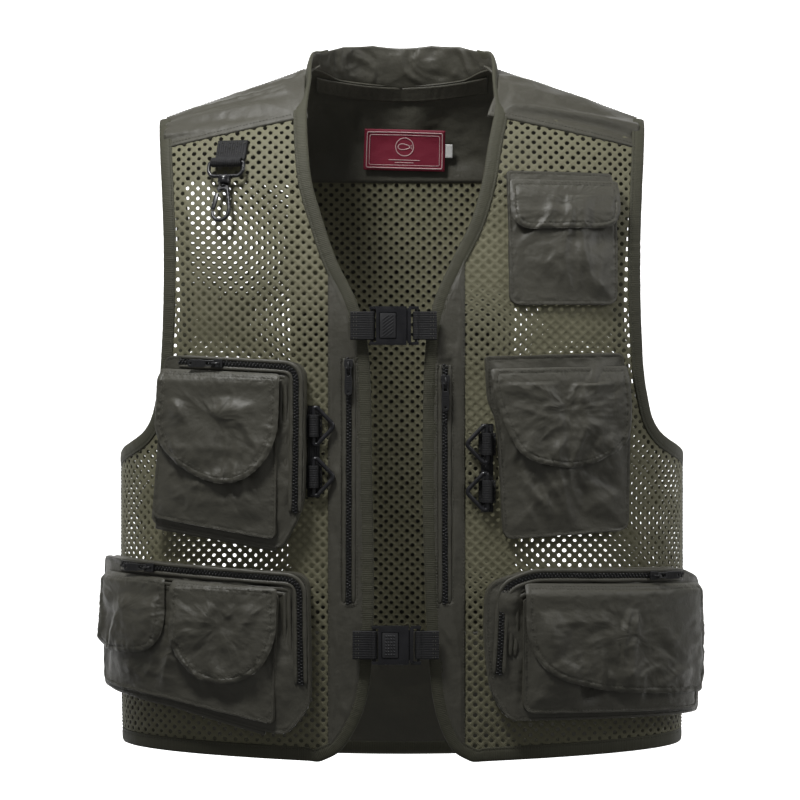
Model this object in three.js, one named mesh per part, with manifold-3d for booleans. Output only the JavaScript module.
// A mesh fishing vest with cargo pockets, in the shape it takes on a body.
// Millimetres, +Z up. The wearer faces -Y, and +X is the wearer's left.
// The origin lies between the two shoulders at the height of the neck, where the vest hangs.
//
// Cloth is laid out on the torso in flat coordinates: s runs round the body from the centre
// front (0) to a side seam (QUARTER) and on to the centre back (2 * QUARTER), and z is height.

import * as THREE from "three";
import { mergeVertices } from "three/addons/utils/BufferGeometryUtils.js";
import Module from "manifold-3d";

const wasm = await Module();
wasm.setup();

// ---------- Driving dimensions ----------

// Half width, and depth in front of and behind the shoulder line, at each height.
const TORSO = [
  { z: 60, halfWidth: 262, front: 62, back: 66 },
  { z: -40, halfWidth: 264, front: 82, back: 82 },
  { z: -140, halfWidth: 264, front: 106, back: 96 },
  { z: -240, halfWidth: 260, front: 118, back: 100 },
  { z: -350, halfWidth: 256, front: 118, back: 98 },
  { z: -520, halfWidth: 256, front: 118, back: 101 },
  { z: -660, halfWidth: 253, front: 114, back: 103 },
];
const ROUNDNESS = 2.3; // exponent of the superellipse that each torso section follows
const SHOULDER_TIP = { x: 222, z: -43 };
const SHOULDER_SLOPE = 0.345;
const ARCH = { front: 110, back: 90 }; // height over which the cloth curves over the shoulder
const NECK_X = 88;
const BACK_NECK_Z = -8;

const CLOTH = 1.2; // thickness of a cloth panel
const BINDING = 12; // width of the bias binding round every free edge
const SEAM = 0.4; // half the gap between two panels at a seam
const GAP = 0.35; // clearance between touching solids

const FRONT_YOKE_SEAM = { x: 92, z: -46, slope: 0.2 };
const BACK_YOKE_Z = -93;
const LOWER_BACK_Z = -522;
const UNDERARM_Z = -349;

// Free edges as [x, z], from the neck down to the hem on each front.
const FRONT_EDGE = {
  right: [
    [-86, -32], [-84, -70], [-80, -105], [-70, -140], [-58, -175], [-39, -215],
    [-29, -261], [-26.5, -362], [-25, -440], [-26, -520], [-33, -570], [-52, -607], [-73, -620],
  ],
  left: [
    [85, -32], [77, -70], [71, -105], [61, -140], [44, -175], [27, -215],
    [20, -261], [18, -362], [19.5, -440], [23, -520], [29, -572], [43, -607], [62, -620],
  ],
};
const PLACKET_X = { right: -66, left: 56 };
const FRONT_ARMHOLE = [
  [222, -44], [215.5, -120], [213.5, -172], [214.5, -240], [219, -290], [233, -328], [256, UNDERARM_Z],
];
const BACK_ARMHOLE = [
  [222, -44], [213, -120], [209, -190], [211, -250], [220, -300], [238, -334], [256, UNDERARM_Z],
];

const material = (color, roughness, metalness = 0) =>
  new THREE.MeshStandardMaterial({ color, roughness, metalness });
const MESH_CLOTH = material(0x8c8b68, 0.85);
const NYLON = material(0x4a4940, 0.55);
const BINDING_TAPE = material(0x3d3d2d, 0.75);
const WEBBING = material(0x26262a, 0.8);
const PLASTIC = material(0x1f1f22, 0.4);
const ZIP_CHAIN = material(0x2c2c2a, 0.5);
const ZIP_METAL = material(0x1c1c1e, 0.35, 0.6);

// ---------- Torso surface ----------

const v3 = (x, y, z) => new THREE.Vector3(x, y, z);
const mix = THREE.MathUtils.lerp;

// Smooth value of one torso measure at height z, without overshoot between stations.
function torso(key, z) {
  const last = TORSO.length - 2;
  let i = 0;
  while (i < last && z < TORSO[i + 1].z) i++;
  const rise = (k) => (TORSO[k + 1][key] - TORSO[k][key]) / (TORSO[k + 1].z - TORSO[k].z);
  const slope = (k) => {
    if (k === 0 || k === TORSO.length - 1) return rise(Math.min(k, last));
    const [a, b] = [rise(k - 1), rise(k)];
    return a * b <= 0 ? 0 : (2 * a * b) / (a + b);
  };
  const span = TORSO[i + 1].z - TORSO[i].z;
  const t = THREE.MathUtils.clamp((z - TORSO[i].z) / span, 0, 1);
  const [t2, t3] = [t * t, t * t * t];
  return (
    (2 * t3 - 3 * t2 + 1) * TORSO[i][key] + (t3 - 2 * t2 + t) * span * slope(i) +
    (3 * t2 - 2 * t3) * TORSO[i + 1][key] + (t3 - t2) * span * slope(i + 1)
  );
}

// A quarter of the torso section by arc length: across and forward run from (0, 1) to (1, 0).
const ARC_STEPS = 256;
const QUARTER_ARC = [{ length: 0, across: 0, forward: 1 }];
for (let i = 1; i <= ARC_STEPS; i++) {
  const angle = (i / ARC_STEPS) * (Math.PI / 2);
  const across = Math.sin(angle) ** (2 / ROUNDNESS);
  const forward = Math.max(0, Math.cos(angle)) ** (2 / ROUNDNESS);
  const before = QUARTER_ARC[i - 1];
  const step = Math.hypot((across - before.across) * 256, (forward - before.forward) * 118);
  QUARTER_ARC.push({ length: before.length + step, across, forward });
}
const QUARTER = QUARTER_ARC[ARC_STEPS].length;

function arcLookup(key, value) {
  let i = 1;
  while (i < ARC_STEPS && QUARTER_ARC[i][key] < value) i++;
  const [a, b] = [QUARTER_ARC[i - 1], QUARTER_ARC[i]];
  const t = THREE.MathUtils.clamp((value - a[key]) / (b[key] - a[key]), 0, 1);
  const at = (name) => mix(a[name], b[name], t);
  return { length: at("length"), across: at("across"), forward: at("forward") };
}

const shoulderHeight = (x) => SHOULDER_TIP.z + SHOULDER_SLOPE * (SHOULDER_TIP.x - Math.abs(x));

// How far the section has opened below the shoulder line: 0 on it, 1 from ARCH down.
function arch(x, z, side) {
  const share = THREE.MathUtils.clamp((shoulderHeight(x) - z) / ARCH[side], 0, 1);
  return Math.sqrt(1 - (1 - share) ** 2);
}

// The point of the torso at flat coordinates (s, z).
function surface(s, z) {
  const turn = Math.abs(s) / QUARTER;
  const side = turn > 1 ? "back" : "front";
  const quarter = arcLookup("length", (turn > 1 ? 2 - turn : turn) * QUARTER);
  const x = (s < 0 ? -1 : 1) * torso("halfWidth", z) * quarter.across;
  const y = torso(side, z) * quarter.forward * arch(x, z, side);
  return v3(x, side === "back" ? y : -y, z);
}

// The same for the back, with b measured from the centre back towards +X.
const backSurface = (b, z) => surface((b < 0 ? -1 : 1) * (2 * QUARTER - Math.abs(b)), z);

// Flat coordinate of a point seen at x from the front.
function arcAt(x, z) {
  const share = Math.min(1, Math.abs(x) / torso("halfWidth", z));
  return Math.sign(x) * arcLookup("across", share).length;
}

function outward(s, z) {
  const step = 1;
  const along = surface(s + step, z).sub(surface(s - step, z));
  const up = surface(s, z + step).sub(surface(s, z - step));
  return along.cross(up).normalize();
}

const lifted = (s, z, lift) => surface(s, z).addScaledVector(outward(s, z), lift);

// ---------- Flat outlines ----------

const flat = ([x, z]) => new THREE.Vector2(arcAt(x, z), z);
const smooth = (points, count) => new THREE.SplineCurve(points).getSpacedPoints(count);

// Moves each point of an open line sideways by distance, to the left of its direction.
function offset(points, distance) {
  return points.map((point, i) => {
    const along = points[Math.min(i + 1, points.length - 1)]
      .clone()
      .sub(points[Math.max(i - 1, 0)])
      .normalize();
    return new THREE.Vector2(point.x - along.y * distance, point.y + along.x * distance);
  });
}

// The part of an open line where side(point) is positive, cut where it changes sign.
function clip(points, side) {
  const kept = [];
  points.forEach((point, i) => {
    const before = points[i - 1];
    if (before && side(before) > 0 !== side(point) > 0)
      kept.push(before.clone().lerp(point, side(before) / (side(before) - side(point))));
    if (side(point) > 0) kept.push(point.clone());
  });
  return kept;
}

// The same line with count equal steps.
function respaced(points, count) {
  const lengths = [0];
  points.slice(1).forEach((point, i) => lengths.push(lengths[i] + point.distanceTo(points[i])));
  const total = lengths[points.length - 1];
  return Array.from({ length: count + 1 }, (_, k) => {
    const at = (k / count) * total;
    let i = 1;
    while (i < points.length - 1 && lengths[i] < at) i++;
    const share = (at - lengths[i - 1]) / (lengths[i] - lengths[i - 1]);
    return points[i - 1].clone().lerp(points[i], share);
  });
}

const yokeSeamZ = (s) => FRONT_YOKE_SEAM.z - FRONT_YOKE_SEAM.slope * (Math.abs(s) - FRONT_YOKE_SEAM.x);
const frontHemZ = (s) => -622 + 12 * Math.abs(s / QUARTER);
const backHemZ = (b) => -636 + 26 * (b / QUARTER) ** 2;

// ---------- Solids ----------

function geometryFrom(points, triangles) {
  let volume = 0;
  triangles.forEach(([a, b, c]) => {
    volume += points[a].dot(points[b].clone().cross(points[c]));
  });
  const faces = volume < 0 ? triangles.map(([a, b, c]) => [a, c, b]) : triangles;
  const geometry = new THREE.BufferGeometry().setFromPoints(points);
  geometry.setIndex(faces.flat());
  geometry.computeVertexNormals();
  return geometry;
}

// A closed sheet between two grids of the same rows and columns.
function sheetBetween(inner, outer) {
  const [rows, columns] = [inner.length, inner[0].length];
  const points = [...inner.flat(), ...outer.flat()];
  const at = (layer, r, c) => layer * rows * columns + r * columns + c;
  const triangles = [];
  const quad = (a, b, c, d) => triangles.push([a, b, c], [a, c, d]);
  for (let r = 0; r < rows - 1; r++)
    for (let c = 0; c < columns - 1; c++) {
      quad(at(0, r, c), at(0, r, c + 1), at(0, r + 1, c + 1), at(0, r + 1, c));
      quad(at(1, r, c), at(1, r + 1, c), at(1, r + 1, c + 1), at(1, r, c + 1));
    }
  for (let c = 0; c < columns - 1; c++) {
    quad(at(0, 0, c), at(1, 0, c), at(1, 0, c + 1), at(0, 0, c + 1));
    quad(at(0, rows - 1, c), at(0, rows - 1, c + 1), at(1, rows - 1, c + 1), at(1, rows - 1, c));
  }
  for (let r = 0; r < rows - 1; r++) {
    quad(at(0, r, 0), at(0, r + 1, 0), at(1, r + 1, 0), at(1, r, 0));
    quad(at(0, r, columns - 1), at(1, r, columns - 1), at(1, r + 1, columns - 1), at(0, r + 1, columns - 1));
  }
  return geometryFrom(points, triangles);
}

// A closed skin over rings of points, with a fan over each end, or joined into a loop.
function skinOver(rings, { loop = false } = {}) {
  const count = rings[0].length;
  const points = rings.flat();
  const triangles = [];
  const steps = loop ? rings.length : rings.length - 1;
  for (let r = 0; r < steps; r++)
    for (let k = 0; k < count; k++) {
      const [a, b] = [r * count + k, r * count + ((k + 1) % count)];
      const shift = (((r + 1) % rings.length) - r) * count;
      triangles.push([a, b, b + shift], [a, b + shift, a + shift]);
    }
  if (!loop)
    [0, rings.length - 1].forEach((end) => {
      const centre = rings[end].reduce((sum, p) => sum.add(p), v3(0, 0, 0)).divideScalar(count);
      const pole = points.push(centre) - 1;
      for (let k = 0; k < count; k++) {
        const [a, b] = [end * count + k, end * count + ((k + 1) % count)];
        triangles.push(end === 0 ? [pole, b, a] : [pole, a, b]);
      }
    });
  return geometryFrom(points, triangles);
}

// A grid moved along its own normals, which point away from inside the torso.
function liftedGrid(grid, lift) {
  const [rows, columns] = [grid.length, grid[0].length];
  return grid.map((row, r) =>
    row.map((point, c) => {
      const along = row[Math.min(c + 1, columns - 1)].clone().sub(row[Math.max(c - 1, 0)]);
      const up = grid[Math.min(r + 1, rows - 1)][c].clone().sub(grid[Math.max(r - 1, 0)][c]);
      const normal = along.cross(up).normalize();
      const inside = v3(0, 0, point.z - 60);
      if (normal.dot(point.clone().sub(inside)) < 0) normal.negate();
      return point.clone().addScaledVector(normal, lift);
    }),
  );
}

const cloth = (grid, low = 0, high = CLOTH) => sheetBetween(liftedGrid(grid, low), liftedGrid(grid, high));

// Points of place(s, z) on straight lines between two flat edges.
const ruled = (from, to, columns, place) =>
  from.map((start, r) =>
    Array.from({ length: columns + 1 }, (_, c) => {
      const point = start.clone().lerp(to[r], c / columns);
      return place(point.x, point.y);
    }),
  );

function solid(geometry) {
  const bare = new THREE.BufferGeometry();
  bare.setAttribute("position", geometry.getAttribute("position").clone());
  if (geometry.index) bare.setIndex(geometry.index.clone());
  const merged = mergeVertices(bare, 1e-4);
  return new wasm.Manifold(
    new wasm.Mesh({
      numProp: 3,
      vertProperties: new Float32Array(merged.getAttribute("position").array),
      triVerts: new Uint32Array(merged.index.array),
    }),
  );
}

function geometryOf(manifold) {
  const mesh = manifold.getMesh();
  const geometry = new THREE.BufferGeometry();
  geometry.setAttribute("position", new THREE.BufferAttribute(mesh.vertProperties, mesh.numProp));
  geometry.setIndex(new THREE.BufferAttribute(mesh.triVerts, 1));
  geometry.computeVertexNormals();
  return geometry;
}

// Joins or cuts closed geometries, and keeps the largest body of the result.
function largest(manifold) {
  const bodies = manifold.decompose();
  return geometryOf(bodies.reduce((best, body) => (body.volume() > best.volume() ? body : best)));
}
const joined = (...pieces) => largest(pieces.map(solid).reduce((a, b) => a.add(b)));
const without = (body, ...cuts) => largest(cuts.map(solid).reduce((a, b) => a.subtract(b), solid(body)));
const boxAt = (sx, sy, sz, x = 0, y = 0, z = 0) => new THREE.BoxGeometry(sx, sy, sz).translate(x, y, z);

// A tube, or a rod where the inner radius is 0, about the local X, Y or Z axis.
function rod(axis, radius, length, sides = 10, inner = 0) {
  const shape = new THREE.Shape().absarc(0, 0, radius, 0, 2 * Math.PI);
  if (inner) shape.holes.push(new THREE.Path().absarc(0, 0, inner, 0, 2 * Math.PI, true));
  const geometry = new THREE.ExtrudeGeometry(shape, {
    depth: length, curveSegments: sides, bevelEnabled: false,
  }).translate(0, 0, -length / 2);
  if (axis === "x") geometry.rotateY(Math.PI / 2);
  if (axis === "y") geometry.rotateX(Math.PI / 2);
  return geometry;
}

// A flat plate in the local XZ plane, from an outline of [x, z] points and holes in it.
function plate(outline, thickness, holes = []) {
  const path = (points) => points.map(([x, z]) => new THREE.Vector2(x, z));
  const shape = new THREE.Shape(path(outline));
  holes.forEach((hole) => shape.holes.push(new THREE.Path(path(hole))));
  return new THREE.ExtrudeGeometry(shape, { depth: thickness, bevelEnabled: false })
    .translate(0, 0, -thickness / 2)
    .rotateX(Math.PI / 2);
}

const vest = new THREE.Group();

function add(name, geometry, kind, parent = vest) {
  const mesh = new THREE.Mesh(geometry, kind);
  mesh.name = name;
  parent.add(mesh);
  return mesh;
}

// A group with its axes along right, out of the body (-Y) and up, at one point.
function stand(name, origin, right, up, parent = vest) {
  const group = new THREE.Group();
  const x = right.clone().normalize();
  const y = up.clone().cross(x).normalize();
  group.matrix.makeBasis(x, y, x.clone().cross(y)).setPosition(origin);
  group.matrix.decompose(group.position, group.quaternion, group.scale);
  group.name = name;
  parent.add(group);
  return group;
}

// ---------- Front and back panels ----------

const SIDES = [
  { name: "right", sign: -1 },
  { name: "left", sign: 1 },
];
const PANEL_ROWS = 22;
const armholeLine = (points, sign, inset) =>
  offset(smooth(points.map(([x, z]) => flat([sign * x, z])), 40), sign * inset);
const frontEdgeLine = (name, sign, inset) => offset(smooth(FRONT_EDGE[name].map(flat), 60), -sign * -inset);
const sideSeam = (sign, bottom, top) => [
  new THREE.Vector2(sign * (QUARTER - SEAM), bottom),
  new THREE.Vector2(sign * (QUARTER - SEAM), top),
];
const PANEL_INSET = BINDING + SEAM;

function frontMesh({ name, sign }) {
  const belowYoke = (p) => yokeSeamZ(p.x) - SEAM - p.y;
  const armhole = clip(armholeLine(FRONT_ARMHOLE, sign, -PANEL_INSET - 1), belowYoke).reverse();
  const aboveUnderarm = armhole.filter((p) => Math.abs(p.x) < QUARTER - 2);
  const hem = (s) => frontHemZ(s) + PANEL_INSET;
  const outer = [...sideSeam(sign, hem(QUARTER), UNDERARM_Z - PANEL_INSET), ...aboveUnderarm];
  const placketS = (z) => arcAt(PLACKET_X[name], z) + sign * SEAM;
  const besidePlacket = (p) => (p.x - placketS(p.y)) * sign;
  const edge = clip(clip(frontEdgeLine(name, sign, PANEL_INSET), besidePlacket), belowYoke);
  const upper = edge.filter((p) => p.y > -400).reverse();
  const footS = placketS(-600) + sign * 8;
  const corner = new THREE.Vector2(placketS(-598), -598);
  const inner = [new THREE.Vector2(footS, hem(footS)), corner, ...upper];
  const grid = ruled(respaced(outer, PANEL_ROWS), respaced(inner, PANEL_ROWS), 11, surface);
  add(`${name}_front_mesh`, cloth(grid), MESH_CLOTH);
}

// The nylon strip between a front mesh and the front edge, pointed at both ends.
function placket({ name, sign }) {
  const lineS = (z) => arcAt(PLACKET_X[name], z) - sign * 3 * SEAM;
  const least = 3;
  const edge = clip(frontEdgeLine(name, sign, PANEL_INSET), (p) => (lineS(p.y) - p.x) * sign - least);
  const rows = respaced(edge, 26);
  const line = rows.map((p) => new THREE.Vector2(lineS(p.y), p.y));
  add(`${name}_placket`, cloth(ruled(rows, line, 2, surface)), NYLON);
}

function backPanels() {
  const sideLine = (sign) => {
    const armhole = clip(armholeLine(BACK_ARMHOLE, sign, -PANEL_INSET - 1), (p) => BACK_YOKE_Z - SEAM - p.y);
    const above = armhole.reverse().filter((p) => Math.abs(p.x) < QUARTER - 2);
    return respaced([...sideSeam(sign, LOWER_BACK_Z + SEAM, UNDERARM_Z - PANEL_INSET), ...above], 16);
  };
  add("back_mesh", cloth(ruled(sideLine(-1), sideLine(1), 20, backSurface)), MESH_CLOTH);

  const columns = Array.from({ length: 21 }, (_, c) => mix(-1, 1, c / 20) * (QUARTER - SEAM));
  const grid = [0, 0.25, 0.5, 0.75, 1].map((t) =>
    columns.map((b) => backSurface(b, mix(backHemZ(b) + PANEL_INSET, LOWER_BACK_Z - SEAM, t))),
  );
  add("lower_back_panel", cloth(grid), NYLON);
}

// A point of the yoke at x, the given drop below the shoulder line.
function yokePoint(x, drop, side) {
  const z = shoulderHeight(x) - drop;
  const share = Math.min(1, Math.abs(x) / torso("halfWidth", z));
  const depth = torso(side, z) * arcLookup("across", share).forward * arch(x, z, side);
  return v3(x, side === "back" ? depth : -depth, z);
}

// Height of the front yoke seam at x, less the seam gap.
function yokeEndZ(x) {
  let z = FRONT_YOKE_SEAM.z;
  for (let i = 0; i < 8; i++) z = yokeSeamZ(arcAt(x, z)) + SEAM;
  return z;
}

// How far out the yoke reaches at a drop below the shoulder line: up to the armhole binding.
function yokeReach(drop, armhole) {
  const inset = armholeLine(armhole, 1, -PANEL_INSET - 1);
  const z = shoulderHeight(SHOULDER_TIP.x) - drop;
  const near = inset.reduce((best, p) => (Math.abs(p.y - z) < Math.abs(best.y - z) ? p : best));
  return surface(near.x, Math.min(near.y, z)).x;
}

// The yoke is one piece: it runs from the front seams over both shoulders to the back seam.
function yoke() {
  const neckZ = (x) => BACK_NECK_Z - SEAM - BACK_NECK_Z * (x / NECK_X) ** 2;
  const rows = [0, 0.15, 0.3, 0.45, 0.6, 0.75, 0.88, 1];
  const shares = [0, 0.2, 0.4, 0.6, 0.8, 1];
  const neckXs = [-0.8, -0.6, -0.4, -0.2, 0, 0.2, 0.4, 0.6, 0.8].map((t) => t * NECK_X);
  const inner = NECK_X + SEAM;
  const back = rows.map((t) => {
    const drop = t * t * (shoulderHeight(SHOULDER_TIP.x) - BACK_YOKE_Z);
    const outer = yokeReach(drop, BACK_ARMHOLE);
    const shoulderX = shares.map((share) => mix(inner, outer, share));
    const xs = [...shoulderX.map((x) => -x).reverse(), ...neckXs, ...shoulderX];
    return xs.map((x) => {
      const top = Math.abs(x) > NECK_X ? 0 : Math.max(0, shoulderHeight(x) - neckZ(x));
      return yokePoint(x, mix(top, shoulderHeight(x) - BACK_YOKE_Z, t * t), "back");
    });
  });
  const overRidge = 3;
  const fronts = SIDES.map(({ name, sign }) => {
    const edge = frontEdgeLine(name, sign, PANEL_INSET + 1);
    const top = edge[0];
    return [-1, ...rows].map((t) => {
      const share = Math.max(0, t);
      const outer = yokeReach(share * share * 40, FRONT_ARMHOLE);
      const innerX = mix(inner, Math.abs(surface(top.x, top.y).x) + 1, Math.min(1, share * 1.6));
      return shares.map((across) => {
        const x = sign * mix(innerX, outer, across);
        if (t < 0) return yokePoint(x, overRidge, "back");
        return yokePoint(x, share * share * (shoulderHeight(x) - yokeEndZ(x)), "front");
      });
    });
  });
  add("yoke", joined(cloth(back), ...fronts.map((grid) => cloth(grid, 0.4, CLOTH + 0.4))), NYLON);
}

// ---------- Collar and bindings ----------

// The neck seam from the centre back forward, with the collar's height at each point.
const COLLAR = [
  { at: [0, 63, BACK_NECK_Z], height: 40 },
  { at: [40, 57, -5], height: 40 },
  { at: [68, 36, 0], height: 35 },
  { at: [83, 8, 6], height: 26 },
  { at: [86.5, -18, 0], height: 19 },
  { at: [86, -42, -22], height: 13 },
];
const COLLAR_LEAN = 0.3;
const COLLAR_STEPS = 24;

// A point of the collar, part of the way round from the right front end and part of the way up.
const collarHalf = COLLAR.map(({ at }) => v3(...at));
const collarHeights = COLLAR.map(({ height }) => height);
const mirrored = collarHalf.slice(1).map((p) => v3(-p.x, p.y, p.z)).reverse();
const neckSeam = new THREE.CatmullRomCurve3([...mirrored, ...collarHalf]);
const collarTop = new THREE.CatmullRomCurve3(
  [...collarHeights.slice(1).reverse(), ...collarHeights].map((h, i) => v3(i, h, 0)),
);
const collarHeight = (t) => collarTop.getPoint(t).y;
function collarPoint(t, up) {
  const foot = neckSeam.getPoint(t);
  const lean = v3(-foot.x, -foot.y, 0).normalize().multiplyScalar(COLLAR_LEAN * up);
  return foot.add(lean).add(v3(0, 0, up));
}

function collar() {
  const least = BINDING + 3;
  const columns = [];
  for (let i = 0; i <= COLLAR_STEPS; i++) {
    const height = collarHeight(i / COLLAR_STEPS);
    if (height < least) continue;
    const top = height - BINDING - SEAM;
    columns.push([0, 0.5, 1].map((t) => collarPoint(i / COLLAR_STEPS, mix(1.4, top, t))));
  }
  add("collar", cloth(columns, 0, 1.8), NYLON);
}

// A strip of binding between a free edge and the same line inset by its width.
function bindingStrip(edge, inset, place) {
  const grid = edge.map((point, i) =>
    [0, 0.5, 1].map((t) => {
      const at = point.clone().lerp(inset[i], t);
      return place(at.x, at.y);
    }),
  );
  return grid;
}

// One run of binding: up the right front edge, round the collar, down the left, along the hem.
function edgeBinding() {
  const [right, left] = SIDES.map(({ name, sign }) => {
    const edge = respaced(frontEdgeLine(name, sign, 0), 34);
    const inset = respaced(frontEdgeLine(name, sign, BINDING - SEAM), 34);
    return bindingStrip(edge, inset, surface).reverse();
  });
  const overCollar = Array.from({ length: COLLAR_STEPS + 1 }, (_, i) => {
    const height = collarHeight(i / COLLAR_STEPS);
    return [0, 0.5, 1].map((t) => collarPoint(i / COLLAR_STEPS, height - t * (BINDING - SEAM)));
  });
  const hemSteps = 12;
  const frontHem = SIDES.map(({ name, sign }) => {
    const start = flat(FRONT_EDGE[name][FRONT_EDGE[name].length - 1]).x;
    return Array.from({ length: hemSteps }, (_, i) => {
      const s = mix(start, sign * QUARTER, (i + 1) / (hemSteps + 1));
      return [0, 0.5, 1].map((t) => surface(s, frontHemZ(s) + t * (BINDING - SEAM)));
    });
  });
  const backHem = Array.from({ length: 25 }, (_, i) => {
    const b = mix(QUARTER, -QUARTER, i / 24);
    return [0, 0.5, 1].map((t) => backSurface(b, backHemZ(b) + t * (BINDING - SEAM)));
  });
  const run = [...right, ...overCollar, ...left.reverse(), ...frontHem[1], ...backHem, ...frontHem[0].reverse()];
  const ring = [run[run.length - 1], ...run, run[0]];
  const layers = [-0.6, CLOTH + 0.6].map((lift) => liftedGrid(ring, lift).slice(1, -1));
  const rings = run.map((_, r) => [...layers[0][r], ...layers[1][r].reverse()]);
  add("edge_binding", skinOver(rings, { loop: true }), BINDING_TAPE);
}

function armholeBinding({ name, sign }) {
  const strip = (points, place) => {
    const edge = respaced(armholeLine(points, sign, 0), 18);
    const inset = respaced(armholeLine(points, sign, -(BINDING - SEAM)), 18);
    return bindingStrip(edge, inset, place);
  };
  const front = strip(FRONT_ARMHOLE, surface);
  const back = strip(BACK_ARMHOLE, backSurface).reverse();
  const grid = [...front.slice(0, -1), ...back];
  const [low, high] = [liftedGrid(grid, -0.6), liftedGrid(grid, CLOTH + 0.6)];
  const rings = grid.map((_, r) => [...low[r], ...high[r].reverse()]);
  add(`${name}_armhole_binding`, skinOver(rings), BINDING_TAPE);
}

// ---------- Pockets and flaps ----------

const BASE = CLOTH + 1.2; // lift of a pocket's back over the cloth it is sewn to
const OUTLINE_POINTS = 30;

// A closed outline from corners [x, z, radius].
function outlineOf(corners) {
  const points = corners.map(flat);
  const path = points.flatMap((corner, i) => {
    const before = points[(i + points.length - 1) % points.length];
    const after = points[(i + 1) % points.length];
    const [start, end] = [before, after].map((other) => {
      const reach = Math.min(corners[i][2], other.distanceTo(corner) / 2);
      return corner.clone().add(other.clone().sub(corner).setLength(reach));
    });
    return new THREE.QuadraticBezierCurve(start, corner, end).getPoints(4);
  });
  return respaced([...path, path[0].clone()], OUTLINE_POINTS).slice(0, -1);
}

// Rings of an outline, each drawn in towards the centre by a scale and lifted off the body.
function ringsOn(outline, profile) {
  const centre = outline.reduce((sum, p) => sum.add(p), new THREE.Vector2()).divideScalar(outline.length);
  return profile.map(([scale, lift]) =>
    outline.map((point) => {
      const at = centre.clone().lerp(point, scale);
      return lifted(at.x, at.y, typeof lift === "function" ? lift(at.y) : lift);
    }),
  );
}

// A filled pocket: flat at the back, rounded over its edges, crowned in the middle.
function pad(name, corners, low, high, crown) {
  const profile = [
    [0.3, low], [0.65, low], [0.85, low], [1, low], [1, high - 2], [0.96, high],
    [0.8, high + 0.5 * crown], [0.6, high + 0.8 * crown], [0.3, high + crown],
  ];
  add(name, skinOver(ringsOn(outlineOf(corners), profile)), NYLON);
}

// A flap lies over its pocket: lift near at the top seam, and far from drop mm below it.
const FLAP_THICKNESS = 1.6; // two layers of nylon, turned and topstitched

function flap(name, corners, near, far, drop = 16) {
  const top = Math.max(...corners.map(([, z]) => z));
  const lift = (z) => mix(near, far, THREE.MathUtils.smoothstep(top - z, 0, drop));
  const over = (z) => lift(z) + FLAP_THICKNESS;
  const scales = [0.3, 0.7, 0.9, 1];
  const profile = [...scales.map((scale) => [scale, lift]), ...scales.toReversed().map((scale) => [scale, over])];
  add(name, skinOver(ringsOn(outlineOf(corners), profile)), NYLON);
}

const BELLOWS = 18; // lift of the face of a bellows pocket
const PATCH = BELLOWS + 1; // lift of the back of a patch pocket sewn on it
const PATCH_FACE = PATCH + 4;
const FLAP = PATCH_FACE + 2.6;

function chestPocket() {
  const bag = [[93, -96.5, 3], [186, -98, 3], [190, -130, 4], [190, -214, 10], [95, -215, 10]];
  pad("chest_pocket", bag, BASE, BASE + 3, 2);
  const cover = [[95, -104, 3], [191, -105.5, 3], [192, -135, 10], [184, -147, 12], [106, -149, 12], [95, -138, 10]];
  flap("chest_flap", cover, BASE + 4.4, BASE + 6.6);
}

function leftMidPocket() {
  const bag = [
    [73, -261, 3], [193, -257.5, 3], [200, -320, 20], [198, -415, 10], [89, -422, 10], [83.5, -318, 20], [75, -300, 8],
  ];
  pad("left_mid_pocket", bag, BASE, BASE + 7, 3);
  const cover = [
    [77, -271, 3], [196, -268, 3], [199, -317, 20], [195, -340, 16], [152, -362, 24], [105, -352, 18],
    [92, -330, 14], [79, -294, 14],
  ];
  flap("left_mid_flap", cover, BASE + 8.4, BASE + 12);
}

function rightMidPocket() {
  const bag = [[-203, -259, 8], [-84, -266, 14], [-84.5, -392, 20], [-104, -430, 8], [-214, -409, 8], [-207, -308, 20]];
  pad("right_mid_pocket", bag, BASE, BELLOWS, 0);
  const patch = [[-204, -284, 4], [-107, -289, 4], [-108, -422, 8], [-211, -403, 8]];
  pad("right_mid_patch", patch, PATCH, PATCH_FACE, 0);
  const cover = [
    [-205, -270, 3], [-104, -276, 3], [-105, -336, 24], [-125, -367, 24], [-153, -375, 20], [-184, -361, 24],
    [-207, -334, 20],
  ];
  flap("right_mid_flap", cover, BELLOWS + 1.4, FLAP, 12);
}

function rightLowPocket() {
  const bag = [
    [-253.6, -440, 8], [-81, -452, 14], [-79, -569, 14], [-100, -594, 8], [-117, -591, 4], [-196, -569, 10],
    [-254, -556, 8],
  ];
  pad("right_low_pocket", bag, BASE + 1.6, BELLOWS, 0);
  const patch = [[-250, -462, 4], [-106, -470, 4], [-110, -584, 6], [-196, -564, 10], [-250, -552, 6]];
  pad("right_low_patch", patch, PATCH + 1, PATCH_FACE, 0);
  const outer = [[-249.5, -452.5, 3], [-199, -457, 3], [-198.5, -505, 16], [-210, -524, 16], [-249.5, -524, 20]];
  flap("right_low_outer_flap", outer, BELLOWS + 1.4, FLAP, 9);
  const inner = [
    [-195, -458, 3], [-106, -464.5, 3], [-106, -512, 20], [-122, -541, 20], [-150, -551, 20], [-178, -542, 20],
    [-195, -514, 20],
  ];
  flap("right_low_inner_flap", inner, BELLOWS + 1.4, FLAP, 9);
}

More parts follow.
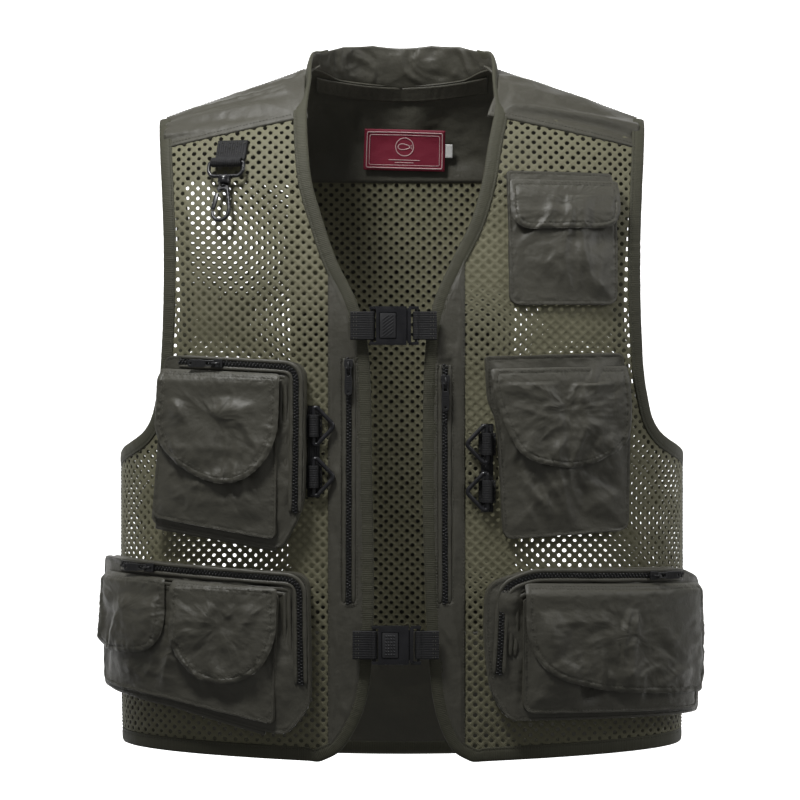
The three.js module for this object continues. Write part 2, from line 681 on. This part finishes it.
function leftLowPocket() {
  const bag = [
    [73, -461, 14], [114, -448, 20], [236, -449.5, 10], [253, -461, 8], [254, -520, 20], [252.5, -581, 8],
    [92, -581, 8], [77, -555, 8], [71, -510, 20],
  ];
  pad("left_low_pocket", bag, BASE + 1.6, BELLOWS, 0);
  const patch = [[104, -474, 4], [248, -478, 4], [247, -576, 6], [104, -574, 10]];
  pad("left_low_patch", patch, PATCH + 1, PATCH_FACE, 0);
  const cover = [
    [105, -460, 3], [249, -463.5, 3], [250, -520, 20], [248, -562, 8], [175, -557, 20], [122, -542, 24],
    [105, -510, 16],
  ];
  flap("left_low_flap", cover, BELLOWS + 1.4, FLAP, 12);
}

// ---------- Zips, sliders and pull tabs ----------

const CHAIN = 5; // width of the zip chain
const SLIDER = { width: 8, length: 12, thick: 3 };
const BAIL = { width: 2, leg: 1.4, bar: 1.2, opening: 2.6 };
const TAB = { width: 7, length: 25, thick: 1.4, eye: 7 };

// A line through corners [x, z, radius] on the cloth, rounded at each corner.
function lineOf(corners) {
  const points = corners.map(flat);
  const path = points.flatMap((corner, i) => {
    const radius = corners[i][2];
    if (!radius) return [corner];
    const start = corner.clone().add(points[i - 1].clone().sub(corner).setLength(radius));
    const end = corner.clone().add(points[i + 1].clone().sub(corner).setLength(radius));
    return new THREE.QuadraticBezierCurve(start, corner, end).getPoints(6);
  });
  const length = path.slice(1).reduce((sum, p, i) => sum + p.distanceTo(path[i]), 0);
  return respaced(path, Math.ceil(length / 9));
}

function zip(name, corners, lift) {
  const path = lineOf(corners);
  const edges = [CHAIN / 2, -CHAIN / 2].map((side) => offset(path, side));
  const layer = (at) => path.map((_, i) => edges.map((edge) => lifted(edge[i].x, edge[i].y, at)));
  add(`${name}_zip`, sheetBetween(layer(lift), layer(lift + 1.4)), ZIP_CHAIN);
}

// A slider and its tab at a point of the cloth: "up" is the way the tab points away from.
function slider(name, x, z, lift, up) {
  const s = arcAt(x, z);
  const along = up === "z" ? surface(s, z + 1).sub(surface(s, z - 1)) : surface(s + up, z).sub(surface(s, z));
  const right = along.clone().cross(outward(s, z));
  const frame = stand(`${name}_slider_frame`, lifted(s, z, lift), right, along.clone().normalize());
  const { width, length, thick } = SLIDER;
  const archTop = thick + BAIL.opening + BAIL.bar;
  const leg = boxAt(BAIL.width, BAIL.opening + 0.4, BAIL.leg, 0, -thick - BAIL.opening / 2);
  const span = length / 2 - 2 - BAIL.leg / 2;
  const body = joined(
    boxAt(width, thick, length, 0, -thick / 2),
    leg.clone().translate(0, 0, span),
    leg.clone().translate(0, 0, -span),
    boxAt(BAIL.width, BAIL.bar, 2 * span + BAIL.leg, 0, -archTop + BAIL.bar / 2),
  );
  add(`${name}_slider`, body, ZIP_METAL, frame);
  const hinge = -thick - BAIL.opening / 2;
  const [w, top, eyeTop] = [TAB.width / 2, 0.3, -1.1];
  const tab = plate(
    [[-w, top], [w, top], [w, top - TAB.length + 2], [w - 2, top - TAB.length], [2 - w, top - TAB.length], [-w, top - TAB.length + 2]],
    TAB.thick,
    [[[-1.7, eyeTop], [-1.7, eyeTop - TAB.eye], [1.7, eyeTop - TAB.eye], [1.7, eyeTop]]],
  ).translate(0, hinge, -1);
  add(`${name}_pull`, tab, PLASTIC, frame);
}

const ON_PLACKET = CLOTH + 0.5;
const ON_BELLOWS = BELLOWS + 0.5;
const OVER_CHAIN = 1.8;

function zips() {
  zip("right_front", [[-47, -262, 0], [-47, -479, 0]], ON_PLACKET);
  slider("right_front", -47, -269, ON_PLACKET + OVER_CHAIN, "z");
  zip("left_front", [[38, -268, 0], [38, -479, 0]], ON_PLACKET);
  slider("left_front", 38, -283, ON_PLACKET + OVER_CHAIN, "z");
  zip("right_mid", [[-190, -264.5, 0], [-91, -270.5, 12], [-92, -398, 0]], ON_BELLOWS);
  slider("right_mid", -158, -266.4, ON_BELLOWS + OVER_CHAIN, 1);
  zip("right_low", [[-238, -446.5, 0], [-88, -457.5, 14], [-87, -549, 0]], ON_BELLOWS);
  slider("right_low", -214, -448.3, ON_BELLOWS + OVER_CHAIN, 1);
  zip("left_low", [[238, -456, 0], [112, -453.5, 10], [87, -464, 12], [83, -540, 0]], ON_BELLOWS);
  slider("left_low", 214, -455.5, ON_BELLOWS + OVER_CHAIN, -1);
}

// ---------- Rings, hook and buckles ----------

const RING = { height: 36, reach: 19, bar: 3.5 };
const TUNNEL = { outer: 4.6, inner: 3.1, height: 20 };
const TAPE = { width: 10, thick: 1.2 };
const RING_LIFT = CLOTH + 1 + TAPE.thick + TUNNEL.outer - 0.6;

// Two rings in one length of webbing; toward is the way the rings point, -1 or 1 along X.
function ringPair(name, x, zs, toward) {
  const middle = (zs[0] + zs[1]) / 2;
  const s = arcAt(x, middle);
  const frame = stand(`${name}_frame`, lifted(s, middle, RING_LIFT), v3(1, 0, 0), v3(0, 0, 1));
  const length = zs[0] - zs[1] + RING.height;
  const back = TUNNEL.outer - 0.3;
  const bore = boxAt(TAPE.width, TAPE.thick, length, 0, back + TAPE.thick / 2 - 0.6);
  const tunnels = zs.map((z) =>
    rod("z", TUNNEL.outer, TUNNEL.height, 7, TUNNEL.inner).translate(0, 0, z - middle),
  );
  const cuts = zs.map((z) => rod("z", TUNNEL.inner, TUNNEL.height + 20, 7).translate(0, 0, z - middle));
  add(`${name}_ring_webbing`, without(joined(bore, ...tunnels), ...cuts), WEBBING, frame);
  const half = RING.height / 2;
  const outline = [[-1.8, half], [4, half], [RING.reach, 2], [RING.reach, -2], [4, -half], [-1.8, -half]];
  const inner = half - RING.bar;
  const tip = RING.reach - RING.bar;
  const hole = [[1.7, inner], [1.7, -inner], [2.8, -inner], [tip, -1.3], [tip, 1.3], [2.8, inner]];
  const turned = (points) => points.map(([a, z]) => [toward * a, z]);
  zs.forEach((z, i) => {
    const ring = plate(turned(outline), RING.bar, [turned(hole)]).translate(0, 0, z - middle);
    add(`${name}_${i ? "lower" : "upper"}_ring`, ring, PLASTIC, frame);
  });
}

const HOOK = { x: -152.5, z: -80, strap: 29, strapTall: 25, standOff: 11.5 };
const EYE = { width: 36, height: 17, bar: 3.4, barrel: 6, barrelTall: 7 };

function snapHook() {
  const s = arcAt(HOOK.x, HOOK.z);
  const right = surface(s + 1, HOOK.z).sub(surface(s, HOOK.z)).setZ(0).normalize();
  const up = surface(s, HOOK.z + 15).sub(surface(s, HOOK.z - 65)).normalize();
  up.addScaledVector(right, -up.dot(right)).normalize();
  const frame = stand("hook_frame", lifted(s, HOOK.z, HOOK.standOff), right, up);
  const foot = -HOOK.strapTall / 2;
  const strap = joined(
    boxAt(HOOK.strap, 1.6, HOOK.strapTall, 0, HOOK.standOff - 3.6),
    boxAt(HOOK.strap, HOOK.standOff - 7, 5, 0, HOOK.standOff / 2 - 0.5, foot + 3.6),
    rod("x", 4.2, HOOK.strap, 7, 2.9).translate(0, 0.1, foot),
  );
  add("hook_strap", without(strap, rod("x", 2.9, 40, 7).translate(0, 0.1, foot)), WEBBING, frame);

  const [w, h, b] = [EYE.width / 2, EYE.height, EYE.bar];
  const top = b / 2;
  const loop = plate(
    [[-w, top], [w, top], [w, top - h + 4], [w - 4, top - h], [4 - w, top - h], [-w, top - h + 4]],
    b,
    [[[b - w, top - b], [b - w, b - h + 3], [4.6 - w, top - h + b], [w - 4.6, top - h + b], [w - b, b - h + 3], [w - b, top - b]]],
  );
  const barrelTop = top - h + 0.5;
  const barrel = rod("z", EYE.barrel, EYE.barrelTall, 8).translate(0, 0, barrelTop - EYE.barrelTall / 2);
  const stemBore = rod("z", 2.4, EYE.barrelTall, 8).translate(0, 0, barrelTop - EYE.barrelTall / 2 - 1.2);
  const eye = without(joined(loop, barrel), stemBore).translate(0, 0.1, foot);
  add("hook_eye", eye, PLASTIC, frame);

  const neck = foot + barrelTop - EYE.barrelTall - 0.6;
  const outline = [[4, 0], [6.5, -4], [9.6, -24], [8, -31], [3, -35], [-3, -35], [-8, -31], [-9.6, -24], [-6.5, -4], [-4, 0]];
  const hole = [[2.6, -4], [-2.6, -4], [-6.2, -24], [-5, -29], [-2, -31.6], [2, -31.6], [5, -29], [6.2, -24]];
  const teardrop = joined(plate(outline, 3.4, [hole]), rod("z", 1.9, 6, 8).translate(0, 0, 2.4));
  const gateWindow = boxAt(10.2, 6, 17, -8, 0, -15.5);
  add("snap_hook", without(teardrop, gateWindow).translate(0, 0.1, neck), PLASTIC, frame);
  const gate = plate([[-7.1, -8], [-3.5, -8], [-5.6, -23.5], [-9.2, -23.5]], 3, []);
  add("hook_gate", gate.translate(0, 0.1, neck), PLASTIC, frame);
}

const SOCKET = { width: 27, height: 34, thick: 9, wall: 1.9 };
const STRAP = { height: 25, thick: 1.4, bar: 1.5, loop: 2.9, bore: 2.1 };

// A strap sewn down at one end and looped round a bar at the other, which lies at x = 0.
function strap(length, away) {
  const tail = boxAt(length, STRAP.thick, STRAP.height, away * (length / 2 + STRAP.bore + 0.2));
  const looped = joined(tail, rod("z", STRAP.loop, STRAP.height, 8, STRAP.bore));
  return without(looped, rod("z", STRAP.bore, STRAP.height + 10, 8));
}

// Two lugs and the bar between them that a strap loops round, with the bar at x = 0.
function barAndLugs(width, away) {
  const lug = boxAt(width, 5, 2.6, -away * (width / 2 - 2.2));
  const half = SOCKET.height / 2 - 1.3;
  return [
    rod("z", STRAP.bar, SOCKET.height - 1, 8),
    lug.clone().translate(0, 0, half),
    lug.clone().translate(0, 0, -half),
  ];
}

function buckle(name, x, z) {
  const s = arcAt(x, z);
  const frame = stand(`${name}_buckle_frame`, lifted(s, z, CLOTH + 8.2).setX(x), v3(1, 0, 0), v3(0, 0, 1));
  const { width, height, thick, wall } = SOCKET;
  const shell = boxAt(width, thick, height);
  const cavity = boxAt(width, 4.6, height - 2 * 3.4, wall * 2);
  const window = boxAt(15, thick, height - 2 * 5.5, -3, -thick / 2 - 0.4);
  const socket = without(shell, cavity, window);
  const barX = -width / 2 - 3.6;
  const withBar = joined(socket, ...barAndLugs(8, -1).map((piece) => piece.translate(barX, 0, 0)));
  add(`${name}_buckle_socket`, withBar, PLASTIC, frame);
  add(`${name}_buckle_button`, boxAt(14, 3.4, height - 12, -3, -thick / 2 + 0.9), PLASTIC, frame);
  add(`${name}_socket_strap`, strap(17, -1).translate(barX, 0, 0), WEBBING, frame);

  const reach = 18;
  const start = width / 2 + 0.6;
  const prongs = boxAt(reach, 1.6, height - 8, start - reach / 2 + 1, 1.2);
  const frameBar = boxAt(3.4, 7, height - 3, start + 1.7);
  const tongueBar = start + 8;
  const tongue = joined(prongs, frameBar, ...barAndLugs(9, 1).map((piece) => piece.translate(tongueBar, 0, 0)));
  add(`${name}_buckle_tongue`, tongue, PLASTIC, frame);
  add(`${name}_tongue_strap`, strap(16, 1).translate(tongueBar, 0, 0), WEBBING, frame);
}

chestPocket();
leftMidPocket();
rightMidPocket();
rightLowPocket();
leftLowPocket();
zips();
ringPair("right", -77.5, [-322, -367], 1);
ringPair("left", 74.5, [-338, -380], -1);
snapHook();
buckle("upper", -9.5, -233.7);
buckle("lower", -7.5, -515);

SIDES.forEach(frontMesh);
SIDES.forEach(placket);
backPanels();
yoke();
collar();
edgeBinding();
SIDES.forEach(armholeBinding);

export default vest;
